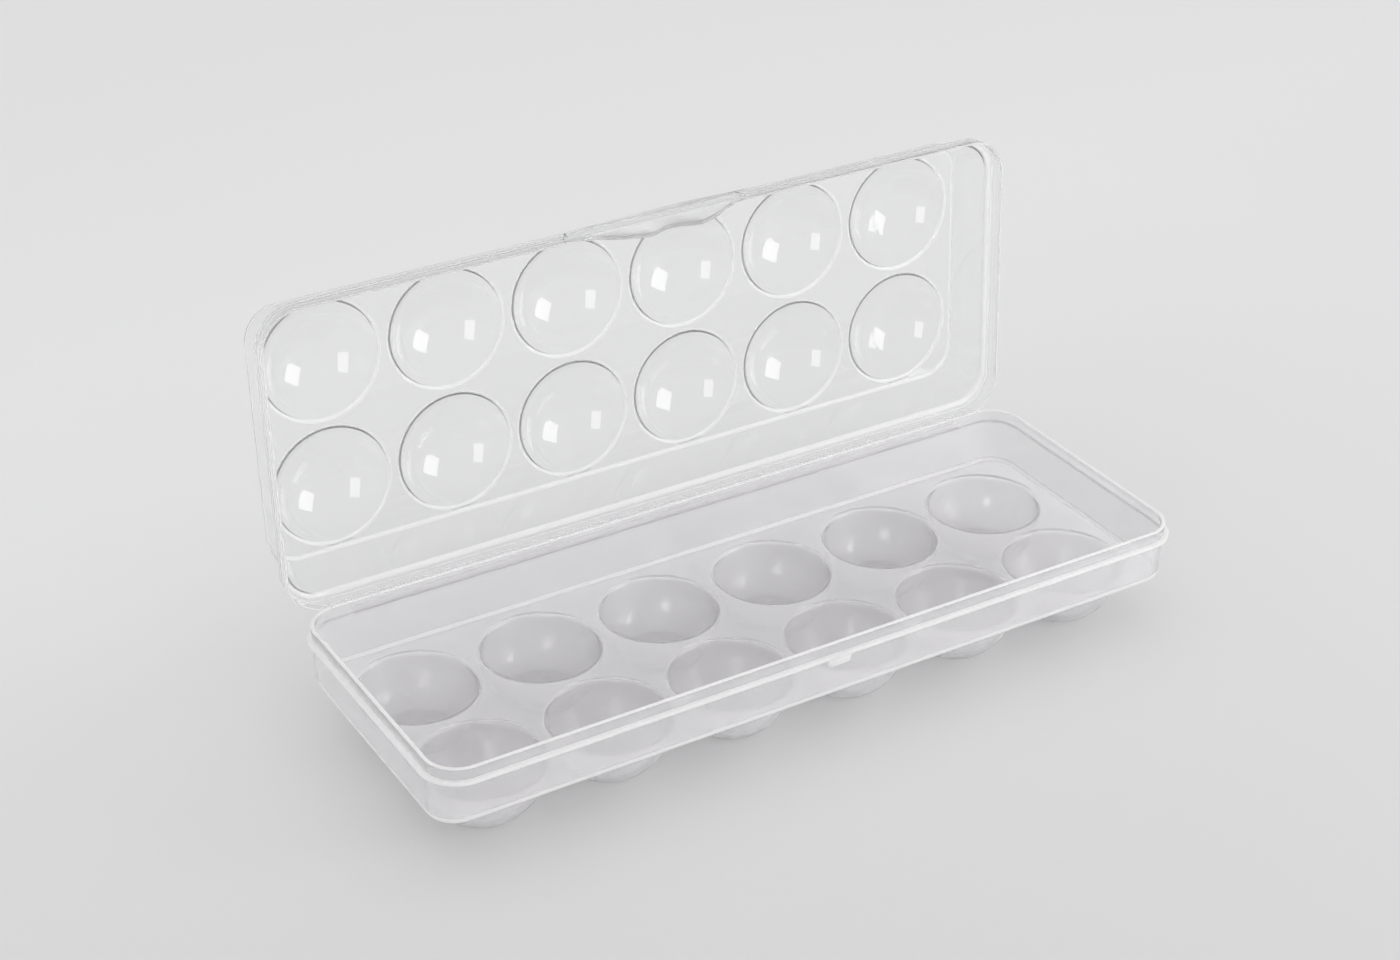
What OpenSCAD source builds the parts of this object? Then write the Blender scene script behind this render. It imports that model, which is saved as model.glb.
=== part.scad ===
// Twelve-cell egg keeper with a flip lid, in moulded plastic.
// The tray stands on the flat feet of its hanging cups. Z = 0 is the table,
// X runs along the length, the latch faces -Y and the hinge line is at +Y.
// The lid is drawn closed over the tray and then swung open about the hinge.

/* [Cells] */
// Outer radius of a cup's bowl
cup_r = 21.3; // [19:0.1:25]
// Floor left between the lips of two cups in a row
web_x = 1.8; // [0.8:0.1:9]
// Floor left between the lips of the two rows
web_y = 1.4; // [0.6:0.1:9]
// Wall of a cup
cup_t = 1.2; // [0.8:0.1:2]
// Width of the lip that joins a cup to the tray floor
cup_lip = 1.1; // [0.8:0.1:1.3]
// Rounding of a cup's inner lip
lip_round = 0.9; // [0.3:0.1:1.2]

/* [Tray] */
// Height of the underside of the tray floor over the table
floor_z = 17.5; // [12:0.5:18.5]
// Wall of the tray
base_t = 1.3; // [1:0.1:2]
// From the end cups to the end walls
end_margin = 5.1; // [3:0.1:20]
// From the cups to the long walls
side_margin = 4.4; // [3:0.1:20]
// Height of the rim over the table
rim_z = 39.8; // [37.5:0.1:55]
// Outward lean of an end wall
end_draft = 0.4; // [0:0.1:4]
// Outward lean of a long wall
side_draft = 2.3; // [0:0.1:4]
// Corner radius at the tray floor
floor_corner = 10; // [6:0.5:14]
// Corner radius at the rim
rim_corner = 12; // [6:0.5:16]
// Rounding under the edge of the tray floor
floor_round = 1.6; // [1.5:0.1:2.6]

/* [Ledge] */
// Height of the top of the ledge that the lid sits over
ledge_z = 35.4; // [31:0.1:37]
// How far the ledge stands out from the wall
ledge_w = 1.8; // [1:0.1:2.2]
// Thickness of the ledge
ledge_t = 1.2; // [0.8:0.1:2]

/* [Latch] */
// Width of the catch where it meets the ledge
catch_w = 9.5; // [6:0.5:16]
// Width of the catch at its lower edge
catch_low_w = 7.5; // [4:0.5:9]
// Height of the catch
catch_h = 2.6; // [1.5:0.1:5]
// How far the catch stands out past the ledge
catch_out = 0.3; // [0:0.1:0.6]
// Width of the lid's tab at its root
tab_w = 72; // [50:1:110]
// Drop of the tab's two lobes below the skirt
tab_drop = 12; // [8:0.5:16]
// How much shorter the tab is between its lobes
tab_dip = 2.8; // [0:0.1:5]
// From the middle of the tab to each lobe
tab_lobe = 10.4; // [6:0.1:20]
// Thickness of the tab
tab_t = 1.2; // [0.8:0.1:2]
// How far the tab's root stops short of the top of the skirt
tab_root = 0.9; // [0.5:0.1:3]

/* [Lid] */
// Wall of the lid
lid_t = 0.8; // [0.6:0.1:1.2]
// Clearance between ledge and skirt with the lid closed
seat_gap = 0.8; // [0.7:0.1:2]
// Clearance between rim and skirt at the ends
skirt_gap_end = 0.7; // [0.4:0.1:3]
// Clearance between rim and skirt along the front and back
skirt_gap_side = 1.6; // [1.4:0.1:3]
// Height of the skirt
skirt_h = 6.4; // [5.5:0.1:12]
// Corner radius of the skirt
skirt_corner = 14; // [8:0.5:18]
// Width of the shoulder at the ends
shoulder_end = 2.5; // [1.5:0.1:4]
// Width of the shoulder along the front and back
shoulder_side = 2.6; // [1.5:0.1:3]
// Height of the lid's wall over the shoulder
lid_wall_h = 19.1; // [12:0.1:40]
// Inward lean of the lid's end walls
lid_end_draft = 1.3; // [0:0.1:3]
// Inward lean of the lid's long walls
lid_side_draft = 4.8; // [0:0.1:4.9]
// Corner radius of the lid's wall
lid_corner = 12; // [8:0.5:16]
// Rounding around the edge of the top panel
lid_round = 1.3; // [1.2:0.1:1.4]

/* [Domes] */
// Height of a dome over the panel
dome_h = 13; // [6:0.5:18]
// How much wider a dome's foot is than a cup's bowl
dome_over = 0.4; // [0:0.1:0.5]
// Flat lip around a dome's foot
dome_lip = 0.4; // [0.2:0.1:0.5]

/* [Hinge] */
// Opening of the lid, where 0 is closed and 93.6 is as photographed
lid_angle = 93.6; // [0:0.1:175]
// From the outside of the skirt to the hinge line
hinge_out = 0.4; // [0.3:0.05:1]
// Thickness of the hinge film
film_t = 0.35; // [0.2:0.05:0.4]
// From the end of the straight ledge to the end of the hinge
hinge_end = 8; // [2:1:40]

/* [Hidden] */
cols = 6;
eps = 0.01;
steps = 8;
row_names = ["front", "rear"];
hole_r = cup_r + cup_lip;
// Spacing of the cups along a row and between the rows
pitch_x = 2 * hole_r + web_x;
pitch_y = 2 * hole_r + web_y;
half_cells_x = (cols - 1) / 2 * pitch_x;
// Outer half sizes of the tray, at the floor and at the rim
floor_hx = half_cells_x + hole_r + end_margin;
floor_hy = pitch_y / 2 + hole_r + side_margin;
rim_hx = floor_hx + end_draft;
rim_hy = floor_hy + side_draft;
ledge_hx = wall_hx(ledge_z) + ledge_w;
ledge_hy = wall_hy(ledge_z) + ledge_w;
ledge_corner = wall_r(ledge_z) + ledge_w;
// Outer half sizes of the lid, and the heights of its parts when closed
skirt_hx = rim_hx + skirt_gap_end + lid_t;
skirt_hy = rim_hy + skirt_gap_side + lid_t;
skirt_z = ledge_z + seat_gap;
shoulder_z = skirt_z + skirt_h;
lidw_hx = skirt_hx - shoulder_end;
lidw_hy = skirt_hy - shoulder_side;
panel_z = shoulder_z + lid_wall_h;
panel_hx = lidw_hx - lid_end_draft;
panel_hy = lidw_hy - lid_side_draft;
// Dome sphere, from the radius of its foot and its height
dome_foot = cup_r + dome_over;
dome_hole = dome_foot + dome_lip;
dome_R = (dome_foot * dome_foot + dome_h * dome_h) / (2 * dome_h);
dome_zc = panel_z + dome_h - dome_R;
// Hinge line
pivot_y = skirt_hy + hinge_out;
pivot_z = ledge_z + film_t / 2 + eps;
flange_y = pivot_y - hinge_out - 0.2;
hinge_len = 2 * (ledge_hx - ledge_corner - hinge_end);

base_colour = [0.86, 0.84, 0.85, 0.7];
cup_colour = [0.88, 0.86, 0.87, 0.65];
lid_colour = [0.84, 0.86, 0.87, 0.35];

// Outer half sizes and corner radius of the tray wall at height z
function rise(z) = (z - floor_z) / (rim_z - floor_z);
function wall_hx(z) = floor_hx + end_draft * rise(z);
function wall_hy(z) = floor_hy + side_draft * rise(z);
function wall_r(z) = floor_corner + (rim_corner - floor_corner) * rise(z);

// Outer half sizes of the lid wall at height z
function fall(z) = (z - shoulder_z) / lid_wall_h;
function lid_hx(z) = lidw_hx - lid_end_draft * fall(z);
function lid_hy(z) = lidw_hy - lid_side_draft * fall(z);

// One closed loop of points: a rounded rectangle at height z
function loop(hx, hy, r, z) = [
    for (c = [0 : 3]) for (k = [0 : steps])
        let (a = 90 * (c + k / steps),
            sx = (c == 0 || c == 3) ? 1 : -1,
            sy = (c < 2) ? 1 : -1)
        [sx * (hx - r) + r * cos(a), sy * (hy - r) + r * sin(a), z]
];

// The tray wall's loop at height z, moved in by d
function tray_loop(z, d) =
    loop(wall_hx(z) - d, wall_hy(z) - d, wall_r(z) - d, z);

// The lid wall's loop at height z, moved in by d
function lid_loop(z, d) =
    loop(lid_hx(z) - d, lid_hy(z) - d, lid_corner - d, z);

// A loop inside the skirt's outline, moved in by d
function skirt_loop(z, d) =
    loop(skirt_hx - d, skirt_hy - d, skirt_corner - d, z);

// A closed band around the part, skinned over a cyclic list of loops
module band(loops) {
    n = len(loops[0]);
    m = len(loops);
    pts = [for (l = loops) each l];
    faces = [
        for (i = [0 : m - 1]) for (j = [0 : n - 1])
            let (a = i * n + j,
                b = ((i + 1) % m) * n + j,
                c = ((i + 1) % m) * n + (j + 1) % n,
                d = i * n + (j + 1) % n)
            each [[a, b, c], [a, c, d]]
    ];
    polyhedron(points = pts, faces = faces, convexity = 6);
}

// Flat plate with the outline of a loop
module plate(outline, z, t) {
    translate([0, 0, z])
        linear_extrude(height = t)
            polygon([for (p = outline) [p[0], p[1]]]);
}

// Round openings at the cell centres
module cell_holes(r, z, t) {
    for (i = [0 : cols - 1]) for (s = [-1, 1])
        translate([cell_x(i), s * pitch_y / 2, z - 1])
            cylinder(r = r, h = t + 2, $fn = 96);
}
function cell_x(i) = i * pitch_x - half_cells_x;

// Swing what is drawn closed to the lid's opening
module swing() {
    translate([0, pivot_y, pivot_z])
        rotate([-lid_angle, 0, 0])
            translate([0, -pivot_y, -pivot_z])
                children();
}

// Leaning side wall of the tray, with a rounded edge under the floor
module base_wall() {
    f = floor_round;
    color(base_colour)
        band(concat(
            [for (a = [0 : 30 : 90])
                let (z = floor_z + f * (1 - cos(a)), d = f * (1 - sin(a)))
                tray_loop(z, d)],
            [tray_loop(ledge_z - ledge_t, 0),
             tray_loop(ledge_z, 0),
             tray_loop(ledge_z, base_t),
             tray_loop(floor_z + base_t, base_t),
             loop(wall_hx(floor_z) - f, wall_hy(floor_z) - f,
                wall_r(floor_z) - f, floor_z + base_t)]
        ));
}

// Upright lip over the ledge, which the skirt of the lid goes over
module base_rim() {
    e = base_t / 4;
    color(base_colour)
        band([
            tray_loop(ledge_z, 0),
            tray_loop(rim_z - e, 0),
            tray_loop(rim_z, e),
            tray_loop(rim_z, base_t - e),
            tray_loop(rim_z - e, base_t),
            tray_loop(ledge_z, base_t)
        ]);
}

// Narrow ledge all the way round, under the skirt of the lid
module base_ledge() {
    z0 = ledge_z - ledge_t;
    e = ledge_t / 4;
    color(base_colour)
        band([
            tray_loop(z0, 0),
            loop(ledge_hx - e, ledge_hy - e, ledge_corner - e, z0),
            loop(ledge_hx, ledge_hy, ledge_corner, z0 + e),
            loop(ledge_hx, ledge_hy, ledge_corner, ledge_z - e),
            loop(ledge_hx - e, ledge_hy - e, ledge_corner - e, ledge_z),
            tray_loop(ledge_z, 0)
        ]);
}

// Tray floor with a round opening for every cup
module tray_floor() {
    f = floor_round;
    color(base_colour)
        difference() {
            plate(loop(floor_hx - f, floor_hy - f, floor_corner - f, 0), floor_z, base_t);
            cell_holes(hole_r, floor_z, base_t);
        }
}

// Points of an arc about (x, z), from angle a0 to a1
function arc(x, z, r, a0, a1, n) = [
    for (k = [0 : n])
        let (a = a0 + (a1 - a0) * k / n)
        [x + r * cos(a), z + r * sin(a)]
];

// Section of a cup: half a ball, cut flat at the table, with a lip
module cup_section() {
    top = floor_z + base_t;
    inner = cup_r - cup_t;
    round_r = min(lip_round, base_t - 0.1);
    foot_a = -asin(floor_z / cup_r);
    inner_a = -asin((floor_z - cup_t) / inner);
    polygon(concat(
        [[0, 0]],
        arc(0, floor_z, cup_r, foot_a, 0, 14),
        [[hole_r, floor_z], [hole_r, top]],
        arc(inner + round_r, top - round_r, round_r, 90, 180, 4),
        arc(0, floor_z, inner, 0, inner_a, 14),
        [[0, cup_t]]
    ));
}

// One egg cup, hanging from the tray floor
module egg_cup(i, s) {
    color(cup_colour)
        translate([cell_x(i), s * pitch_y / 2, 0])
            rotate_extrude($fn = 96) cup_section();
}

// Catch under the ledge at the middle of the front
module latch_catch() {
    z1 = ledge_z - ledge_t;
    z0 = z1 - catch_h;
    y_out = ledge_hy + catch_out;
    color(base_colour)
        intersection() {
            translate([-catch_w, 0, 0])
                rotate([90, 0, 90])
                    linear_extrude(height = 2 * catch_w)
                        polygon([
                            [-wall_hy(z0), z0],
                            [-wall_hy(z1), z1],
                            [-y_out, z1],
                            [-y_out, z0 + 0.5],
                            [-y_out + 0.5, z0]
                        ]);
            rotate([90, 0, 0])
                linear_extrude(height = 2 * y_out)
                    polygon([
                        [-catch_low_w / 2, z0],
                        [catch_low_w / 2, z0],
                        [catch_w / 2, z1],
                        [-catch_w / 2, z1]
                    ]);
        }
}

// Stiff strip behind the ledge with the thin film that bends
module hinge_strip() {
    z0 = ledge_z - ledge_t;
    film_z = pivot_z - film_t / 2;
    color(base_colour) {
        translate([-hinge_len / 2, ledge_hy, z0])
            cube([hinge_len, flange_y - ledge_hy, film_z + film_t - z0]);
        translate([-hinge_len / 2, flange_y - eps, film_z])
            cube([hinge_len, pivot_y + film_t / 2 - flange_y, film_t]);
    }
}

// Skirt of the lid, which goes over the rim of the tray
module lid_skirt() {
    e = lid_t / 4;
    z1 = shoulder_z - lid_t;
    color(lid_colour)
        swing()
            band([
                skirt_loop(skirt_z, e),
                skirt_loop(skirt_z + e, 0),
                skirt_loop(z1, 0),
                skirt_loop(z1, lid_t),
                skirt_loop(skirt_z + e, lid_t),
                skirt_loop(skirt_z, lid_t - e)
            ]);
}

// Shoulder between the skirt and the wall of the lid
module lid_shoulder() {
    z1 = shoulder_z - lid_t;
    e = lid_t / 2;
    color(lid_colour)
        swing()
            band([
                skirt_loop(z1, 0),
                skirt_loop(z1 + e, e / 4),
                skirt_loop(shoulder_z, e),
                lid_loop(shoulder_z, 0),
                lid_loop(shoulder_z, lid_t),
                loop(lidw_hx - lid_t, lidw_hy - lid_t, lid_corner - lid_t, z1),
                skirt_loop(z1, lid_t)
            ]);
}

// Wall of the lid, with a rounded edge under the panel
module lid_wall() {
    f = lid_round;
    in_z = panel_z - lid_t;
    color(lid_colour)
        swing()
            band(concat(
                [lid_loop(shoulder_z, 0)],
                [for (a = [0 : 30 : 90])
                    let (z = panel_z - f * (1 - sin(a)), d = f * (1 - cos(a)))
                    lid_loop(z, d)],
                [loop(panel_hx - f, panel_hy - f, lid_corner - f, in_z),
                 lid_loop(in_z, lid_t),
                 lid_loop(shoulder_z, lid_t)]
            ));
}

// Top panel of the lid with a round opening for every dome
module lid_panel() {
    f = lid_round;
    color(lid_colour)
        swing()
            difference() {
                plate(loop(panel_hx - f, panel_hy - f, lid_corner - f, 0),
                    panel_z - lid_t, lid_t);
                cell_holes(dome_hole, panel_z - lid_t, lid_t);
            }
}

// Section of a dome: a cap of a ball on a flat lip
module dome_section() {
    base = panel_z - lid_t;
    foot_a = acos(dome_foot / dome_R);
    inner_a = asin((base - dome_zc) / (dome_R - lid_t));
    polygon(concat(
        arc(0, dome_zc, dome_R - lid_t, 90, inner_a, 14),
        [[dome_hole, base], [dome_hole, panel_z]],
        arc(0, dome_zc, dome_R, foot_a, 90, 14)
    ));
}

// One dome of the lid, over its cup
module lid_dome(i, s) {
    color(lid_colour)
        swing()
            translate([cell_x(i), s * pitch_y / 2, 0])
                rotate_extrude($fn = 96) dome_section();
}

// How far the tab hangs below the skirt at x
function ease(u) = (u + (1 - cos(180 * u)) / 2) / 2;
function tab_depth(x) =
    let (a = abs(x))
    a > tab_lobe
        ? tab_drop * ease((tab_w / 2 - a) / (tab_w / 2 - tab_lobe))
        : tab_drop - tab_dip * (1 + cos(180 * a / tab_lobe)) / 2;

// Front tab of the lid, with two lobes, which goes down over the catch
module latch_tab() {
    n = 48;
    top = shoulder_z - lid_t - tab_root;
    color(lid_colour)
        swing()
            translate([0, -skirt_hy, 0])
                rotate([90, 0, 0])
                    linear_extrude(height = tab_t)
                        polygon(concat(
                            [for (k = [0 : n])
                                let (x = -tab_w / 2 + tab_w * k / n)
                                [x, skirt_z + lid_t - tab_depth(x)]],
                            [[tab_w / 2 - 2, top], [-tab_w / 2 + 2, top]]
                        ));
}

base_wall();
base_rim();
base_ledge();
tray_floor();
latch_catch();
hinge_strip();
for (r = [0, 1]) for (i = [0 : cols - 1])
    egg_cup(i, 2 * r - 1);
lid_skirt();
lid_shoulder();
lid_wall();
lid_panel();
latch_tab();
for (r = [0, 1]) for (i = [0 : cols - 1])
    lid_dome(i, 2 * r - 1);
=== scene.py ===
"""Keeper for twelve eggs: a milky tray with hanging cups and a clear flip lid.

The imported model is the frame. Lengths are in metres, +X runs along the keeper,
-Y is the latch side and the table is at Z = 0. Tray and lid are each made as
one continuous skin, as they are moulded. The lid is drawn closed over the tray
and then swung open about the film hinge.
"""

from __future__ import annotations

import logging
import math
from collections.abc import Callable, Iterator, Sequence
from contextlib import contextmanager
from dataclasses import dataclass
from enum import Enum

import bmesh
import bpy
from mathutils import Matrix, Quaternion, Vector

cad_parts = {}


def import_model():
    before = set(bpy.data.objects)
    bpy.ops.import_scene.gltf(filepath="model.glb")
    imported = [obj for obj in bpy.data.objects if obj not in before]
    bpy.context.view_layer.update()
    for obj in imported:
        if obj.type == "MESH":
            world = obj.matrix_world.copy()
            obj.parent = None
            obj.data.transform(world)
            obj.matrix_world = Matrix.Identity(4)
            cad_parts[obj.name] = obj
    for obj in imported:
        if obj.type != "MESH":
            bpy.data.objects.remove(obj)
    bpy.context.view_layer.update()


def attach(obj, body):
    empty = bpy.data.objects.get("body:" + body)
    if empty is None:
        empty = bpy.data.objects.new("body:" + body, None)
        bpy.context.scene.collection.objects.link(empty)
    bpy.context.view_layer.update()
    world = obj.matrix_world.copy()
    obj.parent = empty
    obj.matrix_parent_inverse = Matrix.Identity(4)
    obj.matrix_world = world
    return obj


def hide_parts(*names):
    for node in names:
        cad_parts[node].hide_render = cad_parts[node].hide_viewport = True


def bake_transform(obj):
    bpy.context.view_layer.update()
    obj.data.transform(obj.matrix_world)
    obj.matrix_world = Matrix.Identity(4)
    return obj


MM = 0.001
NEAR = 2e-6
ABOUT = 1e-5
FLAT_TRAY = 0.98
FLAT_LID = 0.995
ROWS = (-1, 1)
COLUMNS = range(6)

log = logging.getLogger("egg_keeper")


class Body(Enum):
    """The two bodies that the hinge joins."""

    TRAY = "tray"
    LID = "lid"


class Slot(Enum):
    """Material slots of the record."""

    TRAY = "tray_plastic"
    LID = "lid_plastic"


# --- Outlines and sizes ---


@dataclass(frozen=True)
class Outline:
    """A rounded rectangle about the Z axis, at one height, in metres."""

    half_x: float
    half_y: float
    corner: float
    z: float

    def inset(self, by: float, z: float | None = None) -> Outline:
        """The same outline moved in.

        Args:
            by: How far it moves in. A negative value moves it out.
            z: Its new height, or None to keep it.

        Returns:
            The new outline.
        """
        return Outline(
            self.half_x - by,
            self.half_y - by,
            self.corner - by,
            self.z if z is None else z,
        )

    def off(self, point: Vector) -> float:
        """How far a point is from the line of the outline, seen from above.

        Args:
            point: The point.

        Returns:
            The distance, negative inside the outline.
        """
        across = abs(point.x) - (self.half_x - self.corner)
        along = abs(point.y) - (self.half_y - self.corner)
        outside = math.hypot(max(across, 0.0), max(along, 0.0))
        return outside + min(max(across, along), 0.0) - self.corner

    def holds(self, point: Vector) -> bool:
        """Whether a point lies on the outline's line."""
        return abs(point.z - self.z) < NEAR and abs(self.off(point)) < NEAR


@dataclass(frozen=True)
class Cells:
    """Where the twelve cups and domes stand."""

    pitch_x: float = 46.6 * MM
    pitch_y: float = 46.2 * MM

    def places(self) -> Iterator[tuple[float, float]]:
        """The centres of the cells, row by row.

        Yields:
            X and Y of each centre.
        """
        for row in ROWS:
            for column in COLUMNS:
                yield (column - 2.5) * self.pitch_x, row * self.pitch_y / 2


# --- Working by hand ---


def select_only(*objects: bpy.types.Object) -> None:
    """Selects these objects and nothing else, with the first one active.

    Args:
        objects: The objects to select.
    """
    if bpy.context.mode != "OBJECT":
        bpy.ops.object.mode_set(mode="OBJECT")
    bpy.ops.object.select_all(action="DESELECT")
    for thing in objects:
        thing.select_set(True)
    if objects:
        bpy.context.view_layer.objects.active = objects[0]


@contextmanager
def editing(thing: bpy.types.Object) -> Iterator[bpy.types.Object]:
    """Edit mode on one object, in vertex select mode.

    Args:
        thing: The object to edit.

    Yields:
        The object.
    """
    select_only(thing)
    bpy.ops.object.mode_set(mode="EDIT")
    bpy.ops.mesh.select_mode(type="VERT")
    yield thing
    bpy.ops.object.mode_set(mode="OBJECT")


def new_piece(name: str) -> bpy.types.Object:
    """An empty mesh object at the origin.

    Args:
        name: The name of the object and its mesh.

    Returns:
        The object.
    """
    piece = bpy.data.objects.new(name, bpy.data.meshes.new(name))
    bpy.context.scene.collection.objects.link(piece)
    return piece


def select_points(thing: bpy.types.Object, keep: Callable[[Vector], bool]) -> None:
    """Selects the points of a mesh in edit mode that pass a test.

    Args:
        thing: The object in edit mode.
        keep: The test on a point's place.
    """
    bpy.ops.mesh.select_mode(type="VERT")
    bpy.ops.mesh.select_all(action="DESELECT")
    mesh = bmesh.from_edit_mesh(thing.data)
    for point in mesh.verts:
        point.select = keep(point.co)
    mesh.select_flush(True)
    bmesh.update_edit_mesh(thing.data)


def select_edges(
    thing: bpy.types.Object, keep: Callable[[bmesh.types.BMEdge], bool]
) -> None:
    """Selects the edges of a mesh in edit mode that pass a test.

    Args:
        thing: The object in edit mode.
        keep: The test on an edge.
    """
    bpy.ops.mesh.select_mode(type="EDGE")
    bpy.ops.mesh.select_all(action="DESELECT")
    mesh = bmesh.from_edit_mesh(thing.data)
    for edge in [edge for edge in mesh.edges if keep(edge)]:
        edge.select_set(True)
    bmesh.update_edit_mesh(thing.data)


def round_edges(
    thing: bpy.types.Object, by: float, keep: Callable[[bmesh.types.BMEdge], bool]
) -> None:
    """Rounds the edges of a mesh in edit mode that pass a test.

    Args:
        thing: The object in edit mode.
        by: How far the rounding reaches from each edge.
        keep: The test on an edge.
    """
    select_edges(thing, keep)
    bpy.ops.mesh.bevel(offset=by, segments=3, affect="EDGES")


def select_faces(
    thing: bpy.types.Object, keep: Callable[[Vector, Vector], bool]
) -> None:
    """Selects the faces of a mesh in edit mode that pass a test.

    Args:
        thing: The object in edit mode.
        keep: The test on a face's middle and normal.
    """
    bpy.ops.mesh.select_mode(type="FACE")
    bpy.ops.mesh.select_all(action="DESELECT")
    mesh = bmesh.from_edit_mesh(thing.data)
    mesh.normal_update()
    chosen = [f for f in mesh.faces if keep(f.calc_center_median(), f.normal)]
    for face in chosen:
        face.select_set(True)
    bmesh.update_edit_mesh(thing.data)


def draw_outline(outline: Outline, segments: int) -> None:
    """Draws an outline in the mesh being edited: a plane with rounded corners.

    Args:
        outline: The outline to draw.
        segments: How many edges each corner has.
    """
    at = (0.0, 0.0, outline.z)
    bpy.ops.mesh.primitive_plane_add(size=1.0, location=at)
    bpy.ops.transform.resize(
        value=(2 * outline.half_x, 2 * outline.half_y, 1.0), center_override=at
    )
    bpy.ops.mesh.bevel(offset=outline.corner, segments=segments, affect="VERTICES")
    bpy.ops.mesh.delete(type="ONLY_FACE")


def skin_outlines(
    thing: bpy.types.Object, outlines: Sequence[Outline], segments: int
) -> None:
    """Draws outlines in the mesh being edited and bridges each to the next.

    Args:
        thing: The object in edit mode.
        outlines: The outlines, in order.
        segments: How many edges each corner has.
    """
    for outline in outlines:
        bpy.ops.mesh.select_all(action="DESELECT")
        draw_outline(outline, segments)
    for one, other in zip(outlines, outlines[1:]):
        select_points(thing, lambda p: one.holds(p) or other.holds(p))
        bpy.ops.mesh.bridge_edge_loops()


def grow_rim(
    thing: bpy.types.Object,
    centre: Vector,
    rings: Sequence[tuple[float, float]],
) -> None:
    """Extrudes a bowl's open edge through a list of rings.

    Args:
        thing: The bowl, in edit mode.
        centre: A point on its axis.
        rings: Radius and height of each ring. The first is the open edge.
    """
    for (radius, z), (next_radius, next_z) in zip(rings, rings[1:]):
        select_points(
            thing,
            lambda p: (
                abs(p.z - z) < NEAR
                and abs(math.hypot(p.x - centre.x, p.y - centre.y) - radius) < 2e-5
            ),
        )
        bpy.ops.mesh.extrude_edges_move(
            TRANSFORM_OT_translate={"value": (0.0, 0.0, next_z - z)}
        )
        grown = next_radius / radius
        bpy.ops.transform.resize(
            value=(grown, grown, 1.0), center_override=(centre.x, centre.y, next_z)
        )


def ring_radius(thing: bpy.types.Object, centre: Vector, z: float) -> float:
    """The radius of a bowl's ring of points at a height, in edit mode.

    Args:
        thing: The bowl.
        centre: A point on its axis.
        z: The height of the ring.

    Returns:
        The mean distance of its points from the axis.
    """
    mesh = bmesh.from_edit_mesh(thing.data)
    ring = [
        math.hypot(v.co.x - centre.x, v.co.y - centre.y)
        for v in mesh.verts
        if abs(v.co.z - z) < NEAR
    ]
    return sum(ring) / len(ring)


def arc_rings(
    radius: float, z: float, bend: float, start: float, end: float, steps: int
) -> list[tuple[float, float]]:
    """Rings along a rounding about a circle's line.

    Args:
        radius: Radius at which the rounding has its centre.
        z: Height of that centre.
        bend: Radius of the rounding.
        start: First angle in degrees, 0 outwards and 90 up.
        end: Last angle in degrees.
        steps: How many steps there are.

    Returns:
        Radius and height of each ring.
    """
    turns = [math.radians(start + (end - start) * k / steps) for k in range(steps + 1)]
    return [(radius + bend * math.cos(t), z + bend * math.sin(t)) for t in turns]


def fill_level(thing: bpy.types.Object, z: float) -> None:
    """Fills the flat area between all open edges at one height.

    Args:
        thing: The object to fill, in edit mode.
        z: The height.
    """
    select_edges(
        thing,
        lambda e: e.is_boundary and all(abs(v.co.z - z) < NEAR for v in e.verts),
    )
    bpy.ops.mesh.fill(use_beauty=True)


def join_all(first: bpy.types.Object, others: Sequence[bpy.types.Object]) -> None:
    """Joins objects into the first one and merges the points that meet.

    Args:
        first: The object that is kept.
        others: The objects that go into it.
    """
    select_only(first, *others)
    bpy.ops.object.join()
    with editing(first):
        bpy.ops.mesh.select_all(action="SELECT")
        bpy.ops.mesh.remove_doubles(threshold=NEAR)


def copy_to_cells(bowl: bpy.types.Object, cells: Cells) -> list[bpy.types.Object]:
    """Copies a bowl made over the first cell to all the others.

    Args:
        bowl: The bowl over the first cell.
        cells: The places.

    Returns:
        The copies, without the first bowl.
    """
    places = list(cells.places())
    first = places[0]
    copies = []
    for place in places[1:]:
        select_only(bowl)
        bpy.ops.object.duplicate(linked=False)
        copy = bpy.context.active_object
        with editing(copy):
            bpy.ops.mesh.select_all(action="SELECT")
            bpy.ops.transform.translate(
                value=(place[0] - first[0], place[1] - first[1], 0.0)
            )
        copies.append(copy)
    return copies


def thicken(piece: bpy.types.Object, wall: float) -> None:
    """Gives a skin its wall, inwards from where it is drawn.

    Args:
        piece: The skin, with its normals outwards.
        wall: The thickness.
    """
    select_only(piece)
    solid = piece.modifiers.new("wall", "SOLIDIFY")
    solid.thickness = wall
    solid.offset = -1.0
    solid.use_even_offset = True
    bpy.ops.object.modifier_apply(modifier=solid.name)


def face_outwards(
    piece: bpy.types.Object, towards: Vector, z: float | None = None
) -> None:
    """Makes a skin's normals agree, and turns them to the asked side.

    Args:
        piece: The skin.
        towards: The side that its faces look to.
        z: Height of the flat faces that decide it, or None for all faces.
    """
    with editing(piece):
        bpy.ops.mesh.select_all(action="SELECT")
        bpy.ops.mesh.normals_make_consistent(inside=False)
        mesh = bmesh.from_edit_mesh(piece.data)
        mesh.normal_update()
        facing = sum(
            f.normal.dot(towards)
            for f in mesh.faces
            if z is None or abs(f.calc_center_median().z - z) < NEAR
        )
        if facing < 0:
            bpy.ops.mesh.flip_normals()


def soften(piece: bpy.types.Object, degrees: float = 40.0) -> None:
    """Shades a piece smooth, except over sharp edges.

    Args:
        piece: The piece.
        degrees: Angle from which an edge is sharp.
    """
    select_only(piece)
    bpy.ops.object.shade_smooth_by_angle(angle=math.radians(degrees))


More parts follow.
